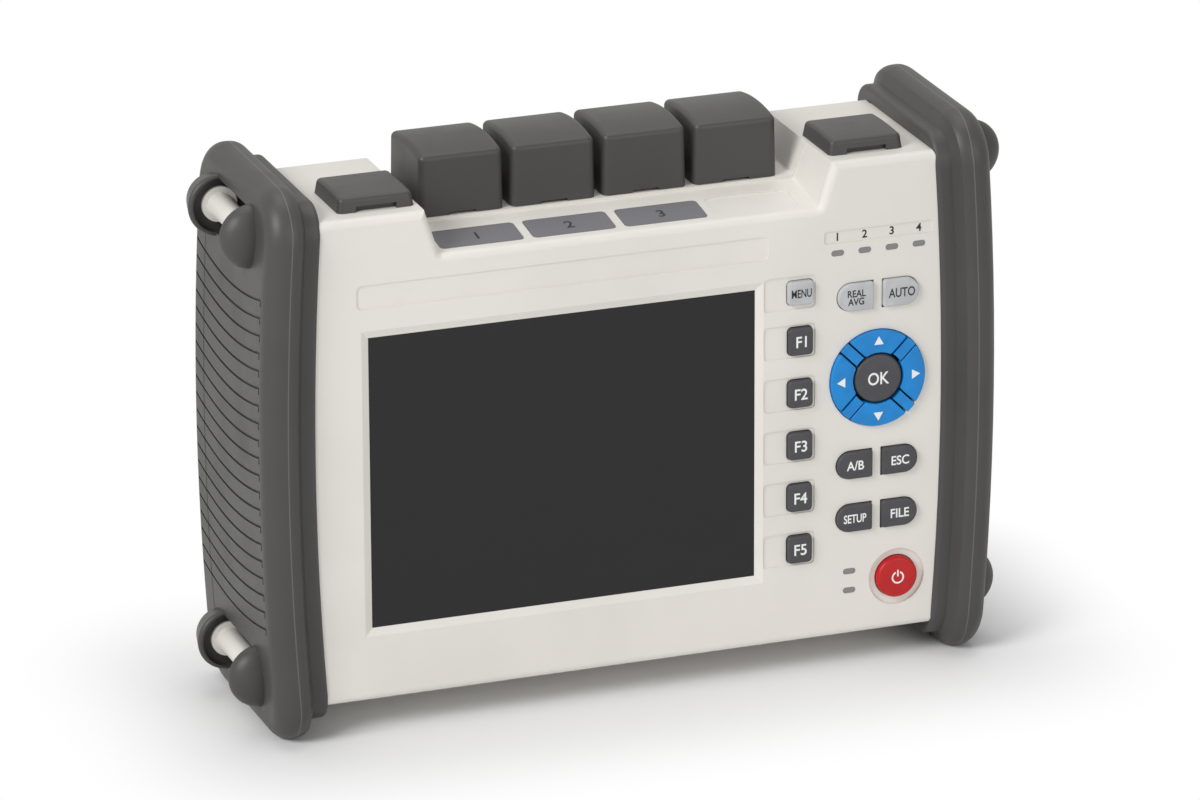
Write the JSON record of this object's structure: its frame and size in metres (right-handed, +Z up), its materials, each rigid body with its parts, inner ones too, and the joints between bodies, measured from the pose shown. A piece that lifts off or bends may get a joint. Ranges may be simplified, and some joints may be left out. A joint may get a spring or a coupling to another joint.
{
  "type": "optical time domain reflectometer",
  "caption": "Hand-held fibre optic tester in a white case with dark rubber side boots, a wide display, push keys, a round cursor pad, hinged port caps on top and a fold-out stand.",
  "frame": {"origin": "centre of the footprint, on the plane that the side boots stand on", "axes": "+X to the right across the front panel, +Y from the display to the back, +Z up"},
  "size_m": [0.2444, 0.0736, 0.1709],
  "materials": {
    "case": "satin moulded plastic, warm off-white",
    "boot": "matt dark grey rubber",
    "strap_bar": "smooth off-white plastic",
    "display": "dark display window, switched off",
    "gasket": "black foam rubber",
    "panel_glass": "dark display panel",
    "key_case": "off-white key",
    "key_plain": "dark grey key",
    "key_light": "light grey key",
    "key_dark": "dark grey key",
    "key_red": "red key",
    "key_blue": "bright blue key",
    "indicator": "grey translucent windows",
    "circuit_board": "green circuit board",
    "label_plate": "grey printed plate",
    "cap_rubber": "matt dark grey rubber",
    "adapter": "nickel-plated metal",
    "socket_shell": "tinned metal shell",
    "jack": "black plastic socket",
    "battery": "black sleeved pack",
    "stand_plastic": "dark grey plastic",
    "pin_steel": "plain steel",
    "module_shell": "plain aluminium cover",
    "foot_rubber": "black rubber"
  },
  "bodies": {
    "housing": {"front_shell": "case", "rear_shell": "case", "battery_door": "case", "left_boot": "boot", "right_boot": "boot", "left_upper_strap_bar": "strap_bar", "left_lower_strap_bar": "strap_bar", "right_upper_strap_bar": "strap_bar", "right_lower_strap_bar": "strap_bar", "display_window": "display", "display_gasket": "gasket", "lcd_module": "panel_glass", "ring_frame": "key_blue", "indicator_windows": "indicator", "key_board": "circuit_board", "main_board": "circuit_board", "port_labels": "label_plate", "port_cap_tabs": "cap_rubber", "side_cap_tabs": "cap_rubber", "optical_adapter_1": "adapter", "optical_adapter_2": "adapter", "optical_adapter_3": "adapter", "optical_adapter_4": "adapter", "lan_port": "socket_shell", "usb_port": "socket_shell", "power_jack": "jack", "battery_pack": "battery", "stand_pin": "pin_steel", "case_screws": "pin_steel", "door_screws": "pin_steel", "board_standoffs": "pin_steel", "optical_module": "module_shell", "rear_feet": "foot_rubber"},
    "menu_key": {"menu_key": "key_case"},
    "soft_key_1": {"soft_key_1": "key_plain"},
    "soft_key_2": {"soft_key_2": "key_plain"},
    "soft_key_3": {"soft_key_3": "key_plain"},
    "soft_key_4": {"soft_key_4": "key_plain"},
    "soft_key_5": {"soft_key_5": "key_plain"},
    "average_key": {"average_key": "key_light"},
    "auto_key": {"auto_key": "key_light"},
    "marker_key": {"marker_key": "key_dark"},
    "escape_key": {"escape_key": "key_dark"},
    "setup_key": {"setup_key": "key_dark"},
    "file_key": {"file_key": "key_dark"},
    "enter_key": {"enter_key": "key_dark"},
    "power_key": {"power_key": "key_red"},
    "up_key": {"up_key": "key_blue"},
    "right_key": {"right_key": "key_blue"},
    "down_key": {"down_key": "key_blue"},
    "left_key": {"left_key": "key_blue"},
    "port_cap_1": {"port_cap_1": "cap_rubber"},
    "port_cap_2": {"port_cap_2": "cap_rubber"},
    "port_cap_3": {"port_cap_3": "cap_rubber"},
    "port_cap_4": {"port_cap_4": "cap_rubber"},
    "left_side_cap": {"left_side_cap": "cap_rubber"},
    "right_side_cap": {"right_side_cap": "cap_rubber"},
    "stand": {"stand": "stand_plastic"}
  },
  "joints": [
    {"name": "menu_key_press", "type": "slide", "parent": "housing", "child": "menu_key", "axis": [0, 1, 0], "range_m": [0, 0.0007], "stiffness_N_per_m": 800, "springref_m": -0.0005},
    {"name": "soft_key_1_press", "type": "slide", "parent": "housing", "child": "soft_key_1", "axis": [0, 1, 0], "range_m": [0, 0.0007], "stiffness_N_per_m": 800, "springref_m": -0.0005},
    {"name": "soft_key_2_press", "type": "slide", "parent": "housing", "child": "soft_key_2", "axis": [0, 1, 0], "range_m": [0, 0.0007], "stiffness_N_per_m": 800, "springref_m": -0.0005},
    {"name": "soft_key_3_press", "type": "slide", "parent": "housing", "child": "soft_key_3", "axis": [0, 1, 0], "range_m": [0, 0.0007], "stiffness_N_per_m": 800, "springref_m": -0.0005},
    {"name": "soft_key_4_press", "type": "slide", "parent": "housing", "child": "soft_key_4", "axis": [0, 1, 0], "range_m": [0, 0.0007], "stiffness_N_per_m": 800, "springref_m": -0.0005},
    {"name": "soft_key_5_press", "type": "slide", "parent": "housing", "child": "soft_key_5", "axis": [0, 1, 0], "range_m": [0, 0.0007], "stiffness_N_per_m": 800, "springref_m": -0.0005},
    {"name": "average_key_press", "type": "slide", "parent": "housing", "child": "average_key", "axis": [0, 1, 0], "range_m": [0, 0.0007], "stiffness_N_per_m": 800, "springref_m": -0.0005},
    {"name": "auto_key_press", "type": "slide", "parent": "housing", "child": "auto_key", "axis": [0, 1, 0], "range_m": [0, 0.0007], "stiffness_N_per_m": 800, "springref_m": -0.0005},
    {"name": "marker_key_press", "type": "slide", "parent": "housing", "child": "marker_key", "axis": [0, 1, 0], "range_m": [0, 0.0007], "stiffness_N_per_m": 800, "springref_m": -0.0005},
    {"name": "escape_key_press", "type": "slide", "parent": "housing", "child": "escape_key", "axis": [0, 1, 0], "range_m": [0, 0.0007], "stiffness_N_per_m": 800, "springref_m": -0.0005},
    {"name": "setup_key_press", "type": "slide", "parent": "housing", "child": "setup_key", "axis": [0, 1, 0], "range_m": [0, 0.0007], "stiffness_N_per_m": 800, "springref_m": -0.0005},
    {"name": "file_key_press", "type": "slide", "parent": "housing", "child": "file_key", "axis": [0, 1, 0], "range_m": [0, 0.0007], "stiffness_N_per_m": 800, "springref_m": -0.0005},
    {"name": "power_key_press", "type": "slide", "parent": "housing", "child": "power_key", "axis": [0, 1, 0], "range_m": [0, 0.0007], "stiffness_N_per_m": 800, "springref_m": -0.0005},
    {"name": "up_key_press", "type": "slide", "parent": "housing", "child": "up_key", "axis": [0, 1, 0], "range_m": [0, 0.0007], "stiffness_N_per_m": 800, "springref_m": -0.0005},
    {"name": "right_key_press", "type": "slide", "parent": "housing", "child": "right_key", "axis": [0, 1, 0], "range_m": [0, 0.0007], "stiffness_N_per_m": 800, "springref_m": -0.0005},
    {"name": "down_key_press", "type": "slide", "parent": "housing", "child": "down_key", "axis": [0, 1, 0], "range_m": [0, 0.0007], "stiffness_N_per_m": 800, "springref_m": -0.0005},
    {"name": "left_key_press", "type": "slide", "parent": "housing", "child": "left_key", "axis": [0, 1, 0], "range_m": [0, 0.0007], "stiffness_N_per_m": 800, "springref_m": -0.0005},
    {"name": "enter_key_press", "type": "slide", "parent": "housing", "child": "enter_key", "axis": [0, 1, 0], "range_m": [0, 0.0007], "stiffness_N_per_m": 800, "springref_m": -0.0005},
    {"name": "port_cap_1_hinge", "type": "hinge", "parent": "housing", "child": "port_cap_1", "pos_m": [-0.0448, 0.0201, 0.15185], "axis": [-1, 0, 0], "range_deg": [0, 90]},
    {"name": "port_cap_2_hinge", "type": "hinge", "parent": "housing", "child": "port_cap_2", "pos_m": [-0.0161, 0.0201, 0.15185], "axis": [-1, 0, 0], "range_deg": [0, 90]},
    {"name": "port_cap_3_hinge", "type": "hinge", "parent": "housing", "child": "port_cap_3", "pos_m": [0.0126, 0.0201, 0.15185], "axis": [-1, 0, 0], "range_deg": [0, 90]},
    {"name": "port_cap_4_hinge", "type": "hinge", "parent": "housing", "child": "port_cap_4", "pos_m": [0.0413, 0.0201, 0.15185], "axis": [-1, 0, 0], "range_deg": [0, 90]},
    {"name": "left_side_cap_hinge", "type": "hinge", "parent": "housing", "child": "left_side_cap", "pos_m": [-0.0766, -0.0009, 0.16155], "axis": [-1, 0, 0], "range_deg": [0, 90]},
    {"name": "right_side_cap_hinge", "type": "hinge", "parent": "housing", "child": "right_side_cap", "pos_m": [0.0766, -0.0009, 0.16155], "axis": [-1, 0, 0], "range_deg": [0, 90]},
    {"name": "stand_hinge", "type": "hinge", "parent": "housing", "child": "stand", "pos_m": [0, 0.0328, 0.071], "axis": [1, 0, 0], "range_deg": [0, 55]}
  ]
}
